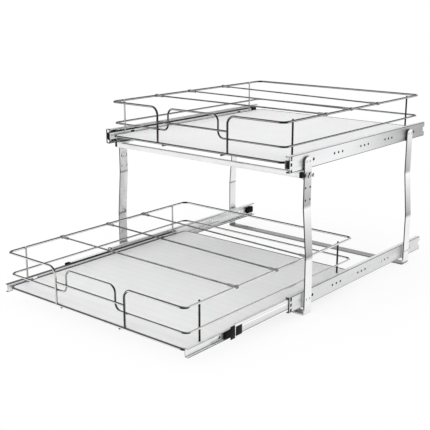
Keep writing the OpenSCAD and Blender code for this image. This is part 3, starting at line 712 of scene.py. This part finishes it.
# A cross of two tapering slots in the outer end
def cutRecess(piece, shape):
    wide, long, deep = (value / 1000 for value in shape["recess"])
    top = shape["profile"][0][1] / 1000
    for across in ((long, wide), (wide, long)):
        bpy.ops.object.select_all(action="DESELECT")
        bpy.ops.mesh.primitive_cube_add(size=1, location=(0, 0, top))
        cutter = bpy.context.object
        cutter.scale = (*across, 2 * deep)
        bpy.ops.object.transform_apply(location=True, rotation=False, scale=True)
        edit(cutter)
        bpy.ops.mesh.select_all(action="DESELECT")
        bpy.ops.object.mode_set(mode="OBJECT")
        for face in cutter.data.polygons:
            face.select = face.normal.z < -0.9
        bpy.ops.object.mode_set(mode="EDIT")
        narrow = (shape["taper"], shape["taper"], 1)
        bpy.ops.transform.resize(value=narrow, center_override=(0, 0, top - deep))
        bpy.ops.object.mode_set(mode="OBJECT")
        cut = piece.modifiers.new("recess", "BOOLEAN")
        cut.object = cutter
        cut.solver = "EXACT"
        bpy.context.view_layer.objects.active = piece
        bpy.ops.object.modifier_apply(modifier="recess")
        bpy.data.objects.remove(cutter)


# Copies of a shape, each turned to stand on the side wall at its place
def setOut(source, places):
    copies = []
    for x, y, z, turn in places:
        copy = source.copy()
        copy.data = source.data.copy()
        bpy.context.scene.collection.objects.link(copy)
        copy.rotation_mode = "ZYX"
        copy.rotation_euler = (0, math.radians(90 if x > 0 else -90), math.radians(turn))
        copy.location = (x, y, z)
        copies.append(copy)
    bpy.data.objects.remove(source)
    return copies


# Joins the copies to one piece
def gathered(name, copies, node):
    bpy.ops.object.select_all(action="DESELECT")
    for copy in copies:
        copy.select_set(True)
    bpy.context.view_layer.objects.active = copies[0]
    bpy.ops.object.transform_apply(location=True, rotation=True, scale=True)
    bpy.ops.object.join()
    piece = bpy.context.object
    piece.name = name
    return settle(piece, node)


# Sizes in mm, and the screws' turn in degrees
legs = {
    "spacing": 446,
    "upperFace": 276,
    "lowerFace": 284.7,
    "screwDrop": 29,
    "screwGap": 17,
    "screwTurn": 30,
    "rivetGap": 12,
    "upperRivet": 7.2,
    "lowerRivet": 8.4,
}


def frameFasteners():
    screws, upper, lower = [], [], []
    upperSlide = slides["height"] + slides["tierPitch"]
    screwHeight = upperSlide - legs["screwDrop"] / 1000
    for side in (-1, 1):
        upperFace, lowerFace = side * legs["upperFace"] / 1000, side * legs["lowerFace"] / 1000
        for step in (-1, 1):
            y = (-legs["spacing"] / 2 + step * legs["screwGap"] / 2) / 1000
            screws.append((upperFace, y, screwHeight, legs["screwTurn"] * step))
            for row in (-1, 1):
                y = (row * legs["spacing"] / 2 + step * legs["rivetGap"] / 2) / 1000
                upper.append((upperFace, y, upperSlide, 0))
                lower.append((lowerFace, y, slides["height"], 0))
    copies = setOut(turned("legScrew", screwShape), screws)
    copies += setOut(turned("upperRivet", rivetShape(legs["upperRivet"])), upper)
    copies += setOut(turned("lowerRivet", rivetShape(legs["lowerRivet"])), lower)
    gathered("frameFasteners", copies, "frame_fasteners")


frameFasteners()
print("fasteners made")


studio = {
    "sky": 0.95,
    "keyPower": 15,
    "fillPower": 5,
    "floorShade": 0.98,
    "floorShadow": 0.16,
    "floorFade": (0.35, 0.8),
    "floorSize": 120,
    "floorDrop": 0.0006,
}
photoView = {"lens": 70.26, "place": (1.22113, -1.65240, 0.68469), "down": 15.23, "turn": 39.96}


def makeWorld():
    world = bpy.data.worlds.new("studioWorld")
    shader = Shader(world)
    path = shader.add("LightPath")
    seen = Signal(path.tree, path.socket.node.outputs["Is Camera Ray"]).highest(
        Signal(path.tree, path.socket.node.outputs["Is Transmission Ray"])
    )
    around = shader.add("Background", None, {"Color": (1, 1, 1, 1), "Strength": studio["sky"]})
    white = shader.add("Background", None, {"Color": (1, 1, 1, 1), "Strength": 1.0})
    both = shader.add("MixShader", None, {0: seen, 1: around, 2: white})
    shader.add("OutputWorld", None, {"Surface": both})
    bpy.context.scene.world = world


# The floor fades to white away from the unit and keeps its shadow close to it
def makeFloor():
    bpy.ops.object.select_all(action="DESELECT")
    bpy.ops.mesh.primitive_plane_add(size=studio["floorSize"], location=(0, 0, -studio["floorDrop"]))
    floor = bpy.context.object
    floor.name = "floor"
    material = bpy.data.materials.new("paleFloor")
    shader = Shader(material)
    here = shader.add("TexCoord", out=3)
    reach = shader.add("VectorMath", {"operation": "LENGTH"}, {0: here}, 1)
    near, far = studio["floorFade"]
    fade = shader.add("MapRange", None, {"Value": reach, "From Min": near, "From Max": far})
    path = shader.add("LightPath")
    ways = path.socket.node.outputs
    seen = Signal(path.tree, ways["Is Camera Ray"]).highest(Signal(path.tree, ways["Is Glossy Ray"]))
    matt = shader.add("BsdfDiffuse", None, {"Color": (*grey(studio["floorShade"]), 1)})
    white = shader.add("Emission", None, {"Color": (1, 1, 1, 1), "Strength": 1.0})
    keep = studio["floorShadow"]
    both = shader.add("MixShader", None, {0: (fade * keep + (1 - keep)) * seen, 1: matt, 2: white})
    shader.add("OutputMaterial", None, {"Surface": both})
    floor.data.materials.append(material)


def makeLamp(name, place, aim, size, power):
    lamp = bpy.data.lights.new(name, "AREA")
    lamp.shape = "RECTANGLE"
    lamp.size, lamp.size_y = size
    lamp.energy = power
    holder = bpy.data.objects.new(name, lamp)
    holder.location = place
    holder.rotation_euler = (Vector(aim) - Vector(place)).to_track_quat("-Z", "Y").to_euler()
    bpy.context.scene.collection.objects.link(holder)


def makeCamera():
    lens = bpy.data.cameras.new("photoCamera")
    lens.lens = photoView["lens"]
    lens.sensor_width = 36
    lens.clip_end = 200
    camera = bpy.data.objects.new("photoCamera", lens)
    camera.location = photoView["place"]
    camera.rotation_euler = (math.radians(90 - photoView["down"]), 0, math.radians(photoView["turn"]))
    bpy.context.scene.collection.objects.link(camera)
    bpy.context.scene.camera = camera


makeWorld()
makeFloor()
makeLamp("keyLamp", (-1.6, -2.2, 2.6), (0, -0.1, 0.15), (1.6, 1.6), studio["keyPower"])
makeLamp("fillLamp", (2.4, -0.6, 1.8), (0, -0.1, 0.2), (1.4, 1.4), studio["fillPower"])
makeCamera()
bpy.context.scene.view_settings.view_transform = "Standard"
print("studio ready")
